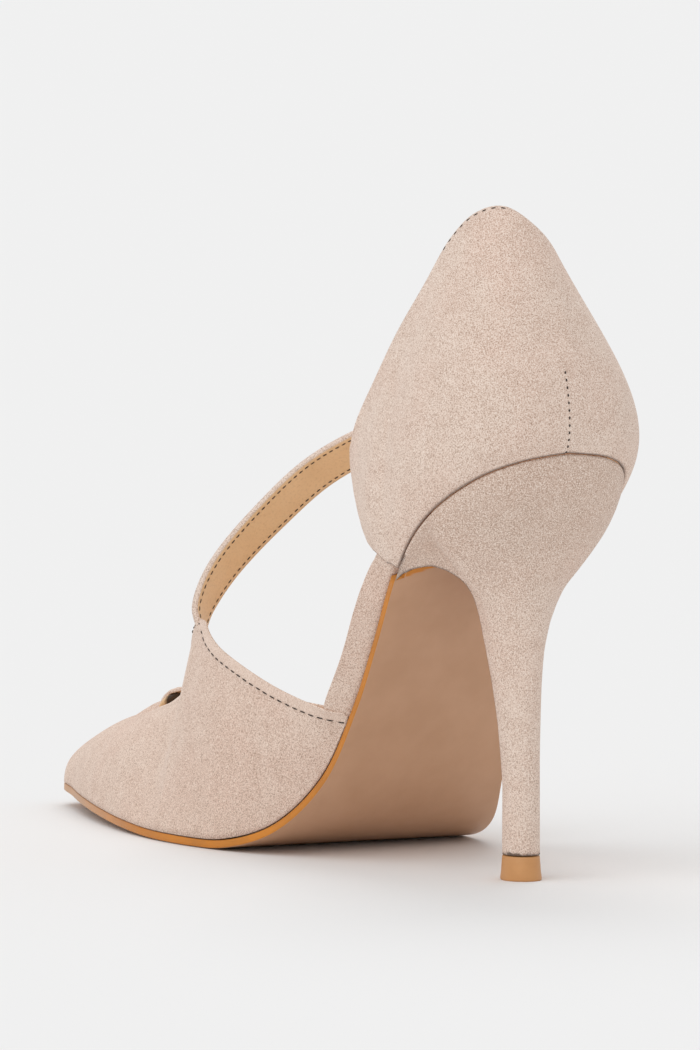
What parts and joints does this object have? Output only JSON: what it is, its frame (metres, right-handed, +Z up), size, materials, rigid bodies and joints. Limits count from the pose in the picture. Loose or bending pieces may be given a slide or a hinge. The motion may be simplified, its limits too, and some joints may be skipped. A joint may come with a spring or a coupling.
{
  "type": "heeled shoe",
  "caption": "Right pointed court shoe with a slim high heel, open waists and a strap across the instep, in pale suede over a leather sole.",
  "frame": {"origin": "on the floor, under the middle of the shoe's length and width", "axes": "+X along the shoe to the toe, +Y to the inner side, +Z up from the floor"},
  "size_m": [0.2232, 0.071, 0.1592],
  "materials": {
    "upper": "suede, matt with a fine nap",
    "outsole": "smooth, half matt",
    "insole_board": "suede wrapped, matt",
    "insole": "smooth lining leather",
    "heel": "suede covered, matt",
    "top_lift": "half matt"
  },
  "bodies": {
    "root": {"upper": "upper", "outsole": "outsole", "insole_board": "insole_board", "insole": "insole", "heel": "heel", "top_lift": "top_lift"}
  },
  "joints": []
}
